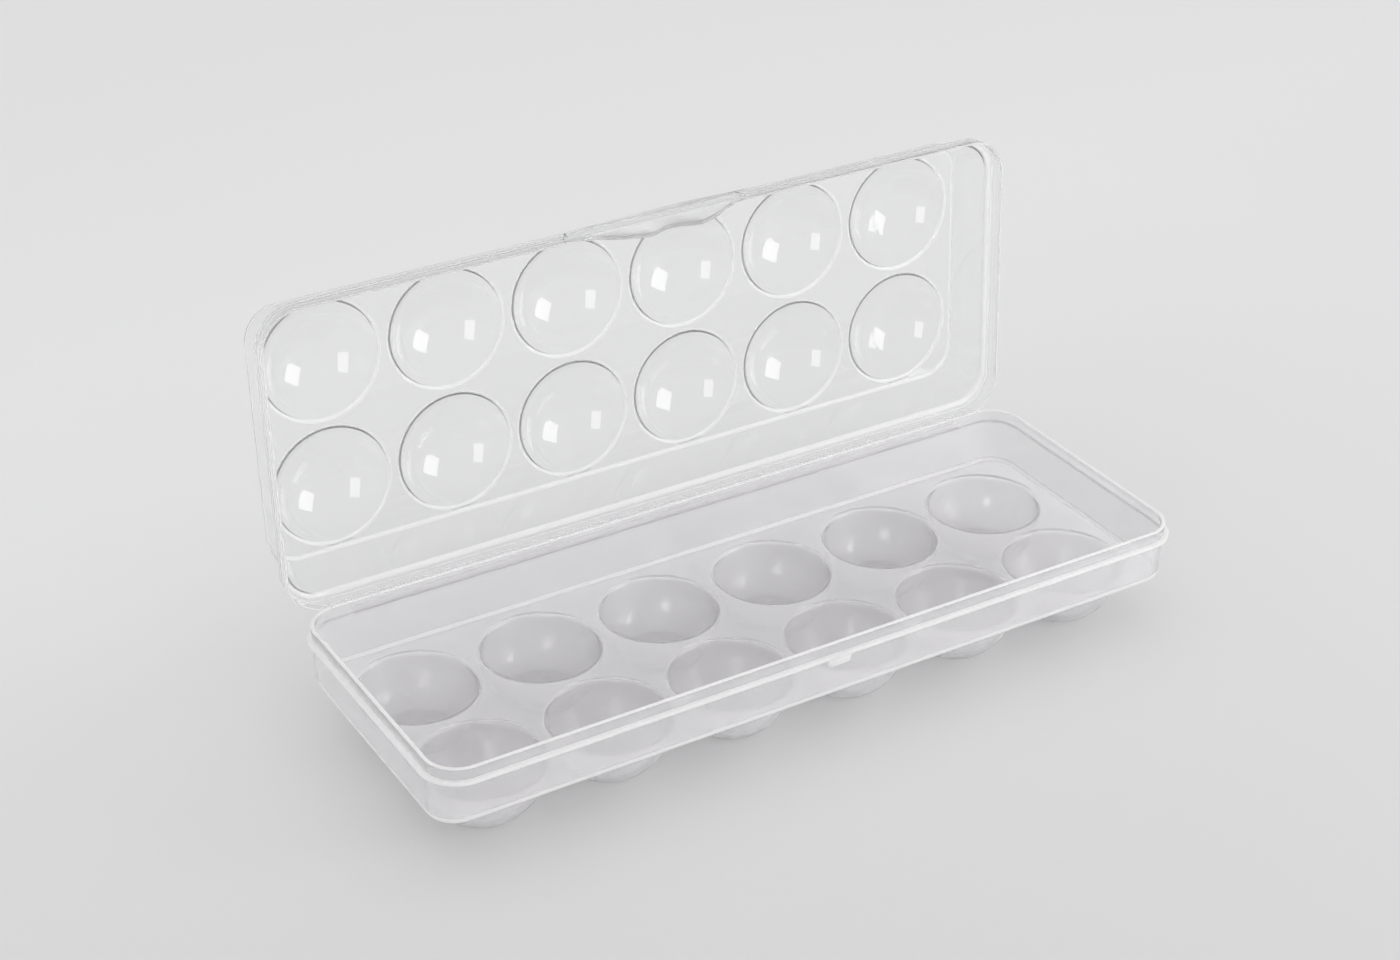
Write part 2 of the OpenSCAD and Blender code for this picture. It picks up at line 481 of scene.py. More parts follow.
def report(piece: bpy.types.Object) -> None:
    """Logs what a finished piece holds, and whether it is closed."""
    mesh = bmesh.new()
    mesh.from_mesh(piece.data)
    open_edges = sum(not e.is_manifold for e in mesh.edges)
    log.info(
        "%s: %d faces, %d open edges, %.2f cm3",
        piece.name,
        len(mesh.faces),
        open_edges,
        mesh.calc_volume(signed=True) * 1e6,
    )
    mesh.free()


# --- Finishes ---


def link(
    tree: bpy.types.NodeTree, source: bpy.types.NodeSocket, to: bpy.types.NodeSocket
) -> None:
    """Links two sockets."""
    tree.links.new(source, to)


def moulded_surface() -> bpy.types.ShaderNodeTree:
    """The group that all the plastic shares: haze, flow and a gentle waviness.

    Returns:
        The group, with a colour, a roughness and a height as outputs.
    """
    name = "moulded_surface"
    if name in bpy.data.node_groups:
        return bpy.data.node_groups[name]
    tree = bpy.data.node_groups.new(name, "ShaderNodeTree")
    face = tree.interface
    for label, kind, value in (
        ("Tint", "NodeSocketColor", (0.9, 0.9, 0.9, 1.0)),
        ("Haze Tint", "NodeSocketColor", (0.8, 0.8, 0.8, 1.0)),
        ("Smooth", "NodeSocketFloat", 0.05),
        ("Hazy", "NodeSocketFloat", 0.15),
    ):
        socket = face.new_socket(name=label, in_out="INPUT", socket_type=kind)
        socket.default_value = value
    for label, kind in (
        ("Color", "NodeSocketColor"),
        ("Roughness", "NodeSocketFloat"),
        ("Height", "NodeSocketFloat"),
    ):
        face.new_socket(name=label, in_out="OUTPUT", socket_type=kind)
    nodes = tree.nodes
    given = nodes.new("NodeGroupInput")
    made = nodes.new("NodeGroupOutput")
    place = nodes.new("ShaderNodeTexCoord")

    def noise(scale: float, detail: float, stretch: Vector) -> bpy.types.NodeSocket:
        """One noise on the object's own coordinates."""
        aim = nodes.new("ShaderNodeMapping")
        aim.inputs["Scale"].default_value = stretch
        link(tree, place.outputs["Object"], aim.inputs["Vector"])
        grain = nodes.new("ShaderNodeTexNoise")
        grain.inputs["Scale"].default_value = scale
        grain.inputs["Detail"].default_value = detail
        link(tree, aim.outputs["Vector"], grain.inputs["Vector"])
        return grain.outputs["Fac"]

    def spread(
        source: bpy.types.NodeSocket, low: float, high: float
    ) -> bpy.types.NodeSocket:
        """A noise stretched to run from 0 to 1."""
        ramp = nodes.new("ShaderNodeMapRange")
        ramp.inputs["From Min"].default_value = low
        ramp.inputs["From Max"].default_value = high
        link(tree, source, ramp.inputs["Value"])
        return ramp.outputs["Result"]

    flow = spread(noise(26.0, 3.0, Vector((0.5, 1.2, 1.2))), 0.35, 0.68)
    cloud = spread(noise(90.0, 2.0, Vector((1.0, 1.0, 1.0))), 0.4, 0.7)
    fine = noise(2600.0, 2.0, Vector((1.0, 1.0, 1.0)))
    wave = noise(38.0, 1.0, Vector((0.6, 1.0, 1.0)))

    mask = nodes.new("ShaderNodeMath")
    mask.operation = "MULTIPLY"
    link(tree, flow, mask.inputs[0])
    link(tree, cloud, mask.inputs[1])

    for kind, low, high, result in (
        ("RGBA", "Tint", "Haze Tint", "Color"),
        ("FLOAT", "Smooth", "Hazy", "Roughness"),
    ):
        mix = nodes.new("ShaderNodeMix")
        mix.data_type = kind
        link(tree, mask.outputs[0], mix.inputs["Factor"])
        link(tree, given.outputs[low], mix.inputs["A"])
        link(tree, given.outputs[high], mix.inputs["B"])
        link(tree, mix.outputs["Result"], made.inputs[result])

    height = nodes.new("ShaderNodeMath")
    height.operation = "MULTIPLY_ADD"
    height.inputs[1].default_value = 0.02
    link(tree, fine, height.inputs[0])
    link(tree, wave, height.inputs[2])
    link(tree, height.outputs[0], made.inputs["Height"])
    return tree


@dataclass(frozen=True)
class Plastic:
    """A see-through moulded plastic. Glow is the weight of its subsurface light."""

    name: str
    tint: tuple[float, float, float]
    haze_tint: tuple[float, float, float]
    smooth: float
    hazy: float
    clear: float
    ior: float
    bump: float
    shadow: tuple[float, float, float]
    glow: float = 0.0

    def material(self) -> bpy.types.Material:
        """The material, made once.

        Returns:
            The material.
        """
        if self.name in bpy.data.materials:
            return bpy.data.materials[self.name]
        material = bpy.data.materials.new(self.name)
        material.use_nodes = True
        tree = material.node_tree
        nodes = tree.nodes
        nodes.clear()
        surface = nodes.new("ShaderNodeGroup")
        surface.node_tree = moulded_surface()
        surface.inputs["Tint"].default_value = (*self.tint, 1.0)
        surface.inputs["Haze Tint"].default_value = (*self.haze_tint, 1.0)
        surface.inputs["Smooth"].default_value = self.smooth
        surface.inputs["Hazy"].default_value = self.hazy

        bump = nodes.new("ShaderNodeBump")
        bump.inputs["Strength"].default_value = self.bump
        bump.inputs["Distance"].default_value = 0.2 * MM
        link(tree, surface.outputs["Height"], bump.inputs["Height"])

        shader = nodes.new("ShaderNodeBsdfPrincipled")
        shader.inputs["IOR"].default_value = self.ior
        shader.inputs["Transmission Weight"].default_value = self.clear
        shader.inputs["Subsurface Weight"].default_value = self.glow
        shader.inputs["Subsurface Radius"].default_value = (1.0, 1.0, 1.0)
        shader.inputs["Subsurface Scale"].default_value = 3.0 * MM
        link(tree, surface.outputs["Color"], shader.inputs["Base Color"])
        link(tree, surface.outputs["Roughness"], shader.inputs["Roughness"])
        link(tree, bump.outputs["Normal"], shader.inputs["Normal"])

        passes = nodes.new("ShaderNodeBsdfTransparent")
        passes.inputs["Color"].default_value = (*self.shadow, 1.0)
        path = nodes.new("ShaderNodeLightPath")
        either = nodes.new("ShaderNodeMixShader")
        link(tree, path.outputs["Is Shadow Ray"], either.inputs["Fac"])
        link(tree, shader.outputs["BSDF"], either.inputs[1])
        link(tree, passes.outputs["BSDF"], either.inputs[2])
        out = nodes.new("ShaderNodeOutputMaterial")
        link(tree, either.outputs["Shader"], out.inputs["Surface"])
        return material

    def dress(self, piece: bpy.types.Object) -> None:
        """Puts the material on a piece as its only one."""
        piece.data.materials.clear()
        piece.data.materials.append(self.material())

    def dress_faces(
        self, piece: bpy.types.Object, keep: Callable[[Vector, Vector], bool]
    ) -> None:
        """Puts the material on some faces of a dressed piece.

        Args:
            piece: The piece.
            keep: The test on a face's middle and normal.
        """
        piece.data.materials.append(self.material())
        piece.active_material_index = len(piece.data.materials) - 1
        with editing(piece):
            select_faces(piece, keep)
            bpy.ops.object.material_slot_assign()


MILKY = Plastic(
    name="milky_tray_plastic",
    tint=(0.965, 0.96, 0.97),
    haze_tint=(0.935, 0.928, 0.94),
    smooth=0.14,
    hazy=0.26,
    clear=0.77,
    ior=1.49,
    bump=0.05,
    shadow=(0.74, 0.73, 0.74),
)

# Painted highlight: a whiter, more diffuse copy of the tray plastic. It stands in for the
# bright lines that light draws along the rim top, ledge, foot round and catch.
MILKY_EDGE_HIGHLIGHT = Plastic(
    name="milky_tray_edge_highlight",
    tint=(0.99, 0.988, 0.99),
    haze_tint=(0.975, 0.97, 0.975),
    smooth=0.3,
    hazy=0.4,
    clear=0.1,
    ior=1.49,
    bump=0.03,
    shadow=(0.78, 0.77, 0.78),
    glow=1.0,
)

CLEAR = Plastic(
    name="clear_lid_plastic",
    tint=(0.99, 0.992, 0.995),
    haze_tint=(0.97, 0.972, 0.975),
    smooth=0.025,
    hazy=0.07,
    clear=1.0,
    ior=1.45,
    bump=0.03,
    shadow=(0.95, 0.953, 0.957),
)

# Painted highlight: a whiter, more diffuse copy of the lid plastic for the bends. Lit from
# above, it stands in for the bright reflection arcs along the dome rims and edges.
CLEAR_BEND_HIGHLIGHT = Plastic(
    name="clear_lid_bend_highlight",
    tint=(0.985, 0.985, 0.988),
    haze_tint=(0.965, 0.965, 0.97),
    smooth=0.3,
    hazy=0.45,
    clear=0.62,
    ior=1.2,
    bump=0.02,
    shadow=(0.93, 0.93, 0.935),
    glow=0.5,
)

# Painted light: a milkier, lighter copy of the lid plastic, so that the tab's edges show
# pale instead of dark.
CLEAR_TAB_LIGHTENED = Plastic(
    name="clear_lid_tab_lightened",
    tint=(0.988, 0.99, 0.993),
    haze_tint=(0.968, 0.97, 0.973),
    smooth=0.12,
    hazy=0.2,
    clear=0.86,
    ior=1.25,
    bump=0.02,
    shadow=(0.94, 0.942, 0.946),
    glow=0.3,
)


# --- Tray ---


@dataclass
class Tray:
    """The tray: floor, wall, ledge and rim with twelve hanging cups."""

    cells: Cells
    wall: float = 1.3 * MM
    floor_z: float = 17.5 * MM
    rim_z: float = 39.8 * MM
    floor_half: tuple[float, float] = (144.0 * MM, 49.9 * MM)
    rim_half: tuple[float, float] = (144.4 * MM, 52.2 * MM)
    floor_corner: float = 10.0 * MM
    rim_corner: float = 12.0 * MM
    floor_round: float = 1.6 * MM
    foot_band: float = 0.8 * MM
    ledge_z: float = 35.4 * MM
    ledge_t: float = 1.2 * MM
    ledge_out: float = 1.8 * MM
    cup_r: float = 21.3 * MM
    cup_fillet: float = 0.6 * MM
    foot_round: float = 2.0 * MM
    corner_segments: int = 16

    def side(self, z: float, inset: float = 0.0) -> Outline:
        """The outside of the leaning wall at a height.

        Args:
            z: The height.
            inset: How far the outline is moved in.

        Returns:
            The outline.
        """
        rise = (z - self.floor_z) / (self.rim_z - self.floor_z)
        half_x = self.floor_half[0] + rise * (self.rim_half[0] - self.floor_half[0])
        half_y = self.floor_half[1] + rise * (self.rim_half[1] - self.floor_half[1])
        corner = self.floor_corner + rise * (self.rim_corner - self.floor_corner)
        return Outline(half_x, half_y, corner, z).inset(inset)

    def outlines(self) -> list[Outline]:
        """The outside of the tray, from the edge of its floor up to the rim."""
        bend = self.floor_round
        start = self.side(self.floor_z, bend)
        made = [start.inset(0.5 * MM)]
        for degrees in range(0, 91, 15):
            turn = math.radians(degrees)
            z = self.floor_z + bend * (1 - math.cos(turn))
            made.append(self.side(z, bend * (1 - math.sin(turn))))
        band_z = self.floor_z + bend + self.foot_band
        for z in (band_z, self.ledge_z - self.ledge_t, self.ledge_z, self.rim_z):
            made.append(self.side(z))
        return made

    def cup(self) -> bpy.types.Object:
        """The outside of the first cup, up to the tray's floor.

        Returns:
            The cup's skin.
        """
        x, y = next(self.cells.places())
        centre = Vector((x, y, self.floor_z))
        bend = self.foot_round
        foot_r = math.sqrt((self.cup_r - bend) ** 2 - (self.floor_z - bend) ** 2)
        lean = math.degrees(math.atan2(self.floor_z - bend, foot_r))
        low_z = bend - bend * math.sin(math.radians(lean))
        high_z = self.floor_z - self.cup_fillet
        cup = new_piece("cup")
        with editing(cup):
            bpy.ops.mesh.primitive_uv_sphere_add(
                segments=64, ring_count=48, radius=self.cup_r, location=centre
            )
            for z, below in ((low_z, True), (high_z, False)):
                bpy.ops.mesh.select_all(action="SELECT")
                bpy.ops.mesh.bisect(
                    plane_co=(x, y, z),
                    plane_no=(0.0, 0.0, 1.0),
                    clear_inner=below,
                    clear_outer=not below,
                )
            edge_r = ring_radius(cup, centre, low_z)
            rings = [(edge_r, low_z)]
            rings += arc_rings(foot_r, bend, bend, -lean, -90.0, 4)[1:]
            rings.append((foot_r - 0.4 * MM, 0.0))
            grow_rim(cup, centre, rings)
            fill_level(cup, 0.0)
            edge_r = ring_radius(cup, centre, high_z)
            middle = edge_r + self.cup_fillet
            rings = [(edge_r, high_z)]
            rings += arc_rings(middle, high_z, self.cup_fillet, 180, 90, 4)[1:]
            rings.append((middle + 0.25 * MM, self.floor_z))
            grow_rim(cup, centre, rings)
        return cup

    def build(self) -> bpy.types.Object:
        """Makes the whole tray as one closed piece.

        Returns:
            The tray's shell.
        """
        shell = new_piece("tray_shell")
        with editing(shell):
            skin_outlines(shell, self.outlines(), self.corner_segments)
        cup = self.cup()
        join_all(shell, [cup, *copy_to_cells(cup, self.cells)])
        with editing(shell):
            fill_level(shell, self.floor_z)
        face_outwards(shell, Vector((0.0, 0.0, -1.0)), self.floor_z)
        thicken(shell, self.wall)
        with editing(shell):
            select_points(shell, lambda p: p.z > self.rim_z - 0.2 * MM)
            bpy.ops.transform.resize(
                value=(1.0, 1.0, 0.0), center_override=(0.0, 0.0, self.rim_z)
            )
        self.raise_ledge(shell)
        self.round_rim(shell)
        soften(shell)
        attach(shell, Body.TRAY.value)
        names = [f"egg_cup_{row}_{n + 1}" for row in ("front", "rear") for n in COLUMNS]
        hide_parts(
            "base_wall", "base_rim", "base_ledge", "tray_floor", *names
        )
        MILKY.dress(shell)
        # Painted highlight: the rim top, ledge and foot round take the whiter plastic so
        # that they show as bright lines.
        MILKY_EDGE_HIGHLIGHT.dress_faces(shell, self.edge_on_and_highlit)
        report(shell)
        return shell

    def edge_on_and_highlit(self, middle: Vector, normal: Vector) -> bool:
        """Whether a face shows the plastic edge-on, where the painted highlight goes.

        Args:
            middle: The face's middle.
            normal: The face's normal.

        Returns:
            True on the rim's top, the ledge and the round under the floor's edge.
        """
        off = self.side(middle.z).off(middle)
        if middle.z > self.rim_z - 0.5 * MM:
            return True
        if self.ledge_z - self.ledge_t - 0.1 * MM < middle.z < self.ledge_z + 0.1 * MM:
            return off > 0.1 * MM
        round_top = self.floor_z + self.floor_round + self.foot_band
        under = self.floor_z - 0.1 * MM < middle.z < round_top
        return under and off > -self.floor_round and abs(normal.z) < FLAT_TRAY

    def raise_ledge(self, shell: bpy.types.Object) -> None:
        """Extrudes the ledge out of the wall and rounds its edges.

        Args:
            shell: The thickened tray.
        """
        low, high = self.ledge_z - self.ledge_t, self.ledge_z
        middle = self.side((low + high) / 2)
        with editing(shell):
            select_faces(
                shell,
                lambda c, n: low < c.z < high and abs(middle.off(c)) < 0.2 * MM,
            )
            bpy.ops.mesh.extrude_region_shrink_fatten(
                TRANSFORM_OT_shrink_fatten={"value": self.ledge_out}
            )
            lip = self.ledge_out * 0.9
            round_edges(
                shell,
                0.35 * MM,
                lambda e: all(
                    middle.off(v.co) > lip and low - MM < v.co.z < high + MM
                    for v in e.verts
                )
                and abs(e.verts[0].co.z - e.verts[1].co.z) < 0.5 * MM,
            )

    def round_rim(self, shell: bpy.types.Object) -> None:
        """Rounds the two edges along the top of the rim.

        Args:
            shell: The thickened tray.
        """
        with editing(shell):
            round_edges(
                shell,
                0.45 * MM,
                lambda e: all(abs(v.co.z - self.rim_z) < 0.05 * MM for v in e.verts)
                and len({round(self.side(self.rim_z).off(v.co), 5) for v in e.verts})
                == 1,
            )


@dataclass
class Catch:
    """The small catch under the middle of the front ledge."""

    tray: Tray
    width: float = 9.5 * MM
    low_width: float = 7.5 * MM
    height: float = 2.6 * MM
    stands_out: float = 0.3 * MM

    def build(self) -> bpy.types.Object:
        """Makes the catch: a tapered block with rounded edges.

        Returns:
            The catch.
        """
        tray = self.tray
        top = tray.ledge_z - tray.ledge_t
        face_y = tray.side(tray.ledge_z).half_y + tray.ledge_out + self.stands_out
        root_y = tray.side(top - self.height).half_y - 0.4 * MM
        catch = new_piece("latch_catch_block")
        with editing(catch):
            centre = (0.0, -(face_y + root_y) / 2, top - self.height / 2 + 0.2 * MM)
            bpy.ops.mesh.primitive_cube_add(size=1.0, location=centre)
            bpy.ops.transform.resize(
                value=(self.width, face_y - root_y, self.height + 0.4 * MM),
                center_override=centre,
            )
            select_points(catch, lambda p: p.z < top - self.height / 2)
            bpy.ops.transform.resize(
                value=(self.low_width / self.width, 1.0, 1.0), center_override=centre
            )
            round_edges(
                catch,
                0.5 * MM,
                lambda e: all(
                    v.co.y < -(face_y + root_y) / 2 or v.co.z < top - self.height / 2
                    for v in e.verts
                ),
            )
        soften(catch, 50.0)
        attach(catch, Body.TRAY.value)
        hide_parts("latch_catch")
        # Painted highlight: the whole catch takes the whiter edge plastic so that it shows
        # bright.
        MILKY_EDGE_HIGHLIGHT.dress(catch)
        report(catch)
        return catch


# --- Lid ---


@dataclass
class Lid:
    """The clear lid: skirt, shoulder, wall and panel with twelve domes."""

    cells: Cells
    wall: float = 0.8 * MM
    skirt_half: tuple[float, float] = (145.9 * MM, 54.6 * MM)
    skirt_corner: float = 14.0 * MM
    skirt_z: float = 36.2 * MM
    shoulder_z: float = 42.6 * MM
    foot_half: tuple[float, float] = (143.4 * MM, 52.0 * MM)
    panel_z: float = 61.7 * MM
    panel_half: tuple[float, float] = (142.1 * MM, 47.2 * MM)
    corner: float = 12.0 * MM
    panel_round: float = 1.3 * MM
    foot_fillet: float = 0.9 * MM
    shoulder_round: float = 0.9 * MM
    dome_foot: float = 21.7 * MM
    dome_h: float = 13.0 * MM
    dome_fillet: float = 1.0 * MM
    pivot: tuple[float, float] = (55.0 * MM, 35.585 * MM)
    opening: float = 93.6
    corner_segments: int = 16

    def side(self, z: float, inset: float = 0.0) -> Outline:
        """The outside of the leaning wall at a height, with the lid closed.

        Args:
            z: The height.
            inset: How far the outline is moved in.

        Returns:
            The outline.
        """
        rise = (z - self.shoulder_z) / (self.panel_z - self.shoulder_z)
        half_x = self.foot_half[0] + rise * (self.panel_half[0] - self.foot_half[0])
        half_y = self.foot_half[1] + rise * (self.panel_half[1] - self.foot_half[1])
        flat = Outline(half_x, half_y, self.corner, z)
        return flat.inset(inset)

    def outlines(self) -> list[Outline]:
        """The outside of the lid, from the edge of its panel down to the skirt."""
        bend, fillet, shoulder = self.panel_round, self.foot_fillet, self.shoulder_round
        made = [self.side(self.panel_z, bend + 0.5 * MM)]
        for degrees in range(90, -1, -15):
            turn = math.radians(degrees)
            z = self.panel_z - bend * (1 - math.sin(turn))
            made.append(self.side(z, bend * (1 - math.cos(turn))))
        for degrees in range(0, 91, 18):
            turn = math.radians(degrees)
            z = self.shoulder_z + fillet * (1 - math.sin(turn))
            made.append(self.side(z, -fillet * (1 - math.cos(turn))))
        skirt = Outline(*self.skirt_half, self.skirt_corner, self.skirt_z)
        for degrees in range(0, 91, 18):
            turn = math.radians(degrees)
            z = self.shoulder_z - shoulder * (1 - math.cos(turn))
            made.append(skirt.inset(shoulder * (1 - math.sin(turn)), z))
        made.append(skirt)
        return made

    def dome(self) -> bpy.types.Object:
        """The outside of the first dome, down to the panel.

        Returns:
            The dome's skin.
        """
        x, y = next(self.cells.places())
        ball = (self.dome_foot**2 + self.dome_h**2) / (2 * self.dome_h)
        middle_z = self.panel_z + self.dome_h - ball
        centre = Vector((x, y, middle_z))
        bend = self.dome_fillet
        over = self.panel_z + bend - middle_z
        bend_r = math.sqrt((ball + bend) ** 2 - over**2)
        edge_z = middle_z + ball * over / (ball + bend)
        dome = new_piece("dome")
        with editing(dome):
            bpy.ops.mesh.primitive_uv_sphere_add(
                segments=64, ring_count=72, radius=ball, location=centre
            )
            bpy.ops.mesh.select_all(action="SELECT")
            bpy.ops.mesh.bisect(
                plane_co=(x, y, edge_z), plane_no=(0.0, 0.0, 1.0), clear_inner=True
            )
            edge_r = ring_radius(dome, centre, edge_z)
            lean = math.atan2(bend_r - edge_r, self.panel_z + bend - edge_z)
            start = 270.0 - math.degrees(lean)
            rings = [(edge_r, edge_z)]
            rings += arc_rings(bend_r, self.panel_z + bend, bend, start, 270.0, 5)[1:]
            rings.append((bend_r + 0.25 * MM, self.panel_z))
            grow_rim(dome, centre, rings)
        return dome

    def build(self) -> bpy.types.Object:
        """Makes the whole lid as one closed piece, and swings it open.

        Returns:
            The lid's shell.
        """
        shell = new_piece("lid_shell")
        with editing(shell):
            skin_outlines(shell, self.outlines(), self.corner_segments)
        dome = self.dome()
        join_all(shell, [dome, *copy_to_cells(dome, self.cells)])
        with editing(shell):
            fill_level(shell, self.panel_z)
        face_outwards(shell, Vector((0.0, 0.0, 1.0)), self.panel_z)
        thicken(shell, self.wall)
        self.round_edge(shell)
        soften(shell)
        CLEAR.dress(shell)
        # Painted highlight: the bends take the whiter plastic to stand in for the bright
        # reflection arcs along them.
        CLEAR_BEND_HIGHLIGHT.dress_faces(shell, self.is_bend)
        swing_open(shell, self)
        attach(shell, Body.LID.value)
        names = [
            f"lid_dome_{row}_{n + 1}" for row in ("front", "rear") for n in COLUMNS
        ]
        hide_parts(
            "lid_skirt", "lid_shoulder", "lid_wall", "lid_panel", *names
        )
        report(shell)
        return shell

    def is_bend(self, middle: Vector, normal: Vector) -> bool:
        """Whether a face lies in a tight bend, where the painted highlight goes.

        Args:
            middle: The face's middle, with the lid closed.
            normal: The face's normal.

        Returns:
            True in the bends of domes, panel, shoulder and skirt.
        """
        if middle.z < self.skirt_z + 0.3 * MM:
            return True
        if abs(middle.z - self.shoulder_z) < self.foot_fillet:
            return abs(normal.z) < FLAT_LID
        under = self.panel_z - middle.z
        if under > self.panel_round:
            return False
        if abs(self.side(middle.z).off(middle) + self.panel_round) < self.panel_round:
            return abs(normal.z) < FLAT_LID
        away = min(
            math.hypot(middle.x - x, middle.y - y) for x, y in self.cells.places()
        )
        near = abs(away - self.dome_foot) < 0.8 * MM
        return near and middle.z < self.panel_z + 0.6 * MM and abs(normal.z) < FLAT_LID

    def round_edge(self, shell: bpy.types.Object) -> None:
        """Rounds the lower edge of the skirt.

        Args:
            shell: The thickened lid, still closed.
        """
        with editing(shell):
            round_edges(
                shell,
                0.25 * MM,
                lambda e: all(abs(v.co.z - self.skirt_z) < 0.02 * MM for v in e.verts)
                and abs(
                    self.outlines()[-1].off(e.verts[0].co)
                    - self.outlines()[-1].off(e.verts[1].co)
                )
                < 0.3 * MM,
            )


@dataclass
class Tab:
    """The tab with two lobes on the outside of the front skirt."""

    lid: Lid
    width: float = 72.0 * MM
    drop: float = 12.0 * MM
    dip: float = 2.8 * MM
    lobe: float = 10.4 * MM
    thick: float = 1.2 * MM
    root: float = 0.9 * MM
    end_slant: float = 2.0 * MM
    columns: int = 48

    def depth(self, x: float) -> float:
        """How far the tab hangs down at a place along it.

        Args:
            x: The place.

        Returns:
            The depth under the skirt's edge.
        """
        away = abs(x)
        if away > self.lobe:
            u = (self.width / 2 - away) / (self.width / 2 - self.lobe)
            return self.drop * (u + (1 - math.cos(math.pi * u)) / 2) / 2
        return self.drop - self.dip * (1 + math.cos(math.pi * away / self.lobe)) / 2

    def build(self) -> bpy.types.Object:
        """Makes the tab: a strip drawn down into its lobes and thickened.

        Returns:
            The tab.
        """
        lid = self.lid
        top = lid.shoulder_z - lid.wall - self.root
        start = lid.skirt_z + lid.wall
        face_y = -(lid.skirt_half[1] + self.thick)
        tab = new_piece("latch_tab_plate")
        with editing(tab):
            bpy.ops.mesh.primitive_grid_add(
                x_subdivisions=self.columns, y_subdivisions=1, size=1.0
            )
            bpy.ops.transform.resize(
                value=(self.width, top - start, 1.0), center_override=(0, 0, 0)
            )
            bpy.ops.transform.rotate(
                value=math.radians(-90), orient_axis="X", center_override=(0, 0, 0)
            )
            bpy.ops.transform.translate(value=(0, face_y, (top + start) / 2))
            for column in range(1, self.columns):
                x = self.width * (column / self.columns - 0.5)
                select_points(
                    tab,
                    lambda p: abs(p.x - x) < ABOUT and abs(p.z - start) < ABOUT,
                )
                bpy.ops.transform.translate(value=(0, 0, -self.depth(x)))
            select_points(
                tab,
                lambda p: (
                    abs(abs(p.x) - self.width / 2) < ABOUT and p.z > top - ABOUT
                ),
            )
            bpy.ops.transform.resize(
                value=(1 - 2 * self.end_slant / self.width, 1, 1),
                center_override=(0, 0, 0),
            )
        face_outwards(tab, Vector((0.0, -1.0, 0.0)))
        thicken(tab, self.thick + 0.2 * MM)
        with editing(tab):
            round_edges(
                tab,
                0.35 * MM,
                lambda e: all(abs(v.co.y - face_y) < ABOUT for v in e.verts)
                and e.calc_face_angle(0.0) > 1.0,
            )
        soften(tab)
        # Painted light: the tab takes the lighter copy of the lid plastic.
        CLEAR_TAB_LIGHTENED.dress(tab)
        swing_open(tab, lid)
        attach(tab, Body.LID.value)
        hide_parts("latch_tab")
        report(tab)
        return tab


def swing_open(piece: bpy.types.Object, lid: Lid) -> None:
    """Turns a piece that was drawn with the lid closed to the lid's opening.

    Args:
        piece: The piece.
        lid: The lid, which holds the hinge line and the opening.
    """
    y, z = lid.pivot
    turn = math.radians(lid.opening)
    before = piece.data.vertices[0].co.copy()
    aim = (
        Matrix.Translation((0.0, y, z))
        @ Matrix.Rotation(-turn, 4, "X")
        @ Matrix.Translation((0.0, -y, -z))
    )
    with editing(piece):
        bpy.ops.mesh.select_all(action="SELECT")
        bpy.ops.transform.rotate(
            value=turn, orient_axis="X", center_override=(0.0, y, z)
        )
    if (piece.data.vertices[0].co - aim @ before).length > ABOUT:
        raise RuntimeError(f"{piece.name} was turned the wrong way")


# --- Hinge ---


@dataclass
class FilmHinge:
    """The thin film that bends, with the stiff strip on the tray's ledge."""

    tray: Tray
    lid: Lid
    length: float = 249.4 * MM
    film: float = 0.35 * MM
    strip_y: float = 54.4 * MM
    steps: int = 12

    def line(self) -> list[tuple[float, float]]:
        """The film's middle line at rest, from the strip to the lid's skirt.

        Returns:
            Y and Z of each point.
        """
        pivot_y, pivot_z = self.lid.pivot
        start = (self.strip_y, pivot_z)
        turn = math.radians(self.lid.opening)
        drawn_y = self.lid.skirt_half[1] - 0.15 * MM
        drawn_z = self.lid.skirt_z + 0.45 * MM
        dy, dz = drawn_y - pivot_y, drawn_z - pivot_z
        end = (
            pivot_y + dy * math.cos(turn) + dz * math.sin(turn),
            pivot_z - dy * math.sin(turn) + dz * math.cos(turn),
        )
        made = []
        for k in range(self.steps + 1):
            t = k / self.steps
            ease = t * t * (3 - 2 * t)
            y = start[0] + (end[0] - start[0]) * t
            made.append((y, start[1] + (end[1] - start[1]) * ease))
        return made

    def build(self) -> bpy.types.Object:
        """Makes the strip and film as one piece, drawn curved from the tray's strip to the
        opened lid.

        Returns:
            The hinge.
        """
        tray = self.tray
        root_y = tray.side(tray.ledge_z).half_y + 0.5 * MM
        low = tray.ledge_z - tray.ledge_t
        top = self.lid.pivot[1] + self.film / 2
        hinge = new_piece("film_hinge")
        line = self.line()
        with editing(hinge):
            middle = (0.0, (root_y + line[0][0]) / 2, (low + top) / 2)
            bpy.ops.mesh.primitive_cube_add(size=1.0, location=middle)
            bpy.ops.transform.resize(
                value=(self.length, line[0][0] - root_y, top - low),
                center_override=middle,
            )
            bpy.ops.mesh.select_all(action="SELECT")
            bpy.ops.mesh.bisect(
                plane_co=(0.0, 0.0, top - self.film), plane_no=(0.0, 0.0, 1.0)
            )
            select_faces(
                hinge,
                lambda c, n: n.y > 0.9 and c.z > top - self.film,
            )
            for (y0, z0), (y1, z1) in zip(line, line[1:]):
                bpy.ops.mesh.extrude_region_move(
                    TRANSFORM_OT_translate={"value": (0.0, y1 - y0, z1 - z0)}
                )
            round_edges(
                hinge,
                0.3 * MM,
                lambda e: all(
                    abs(v.co.y - line[0][0]) < ABOUT and abs(v.co.z - low) < ABOUT
                    for v in e.verts
                ),
            )
            bpy.ops.mesh.select_all(action="SELECT")
            bpy.ops.mesh.normals_make_consistent(inside=False)
        soften(hinge, 50.0)
        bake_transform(hinge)
        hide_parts("hinge_strip")
        MILKY.dress(hinge)
        report(hinge)
        return hinge


# --- Studio ---


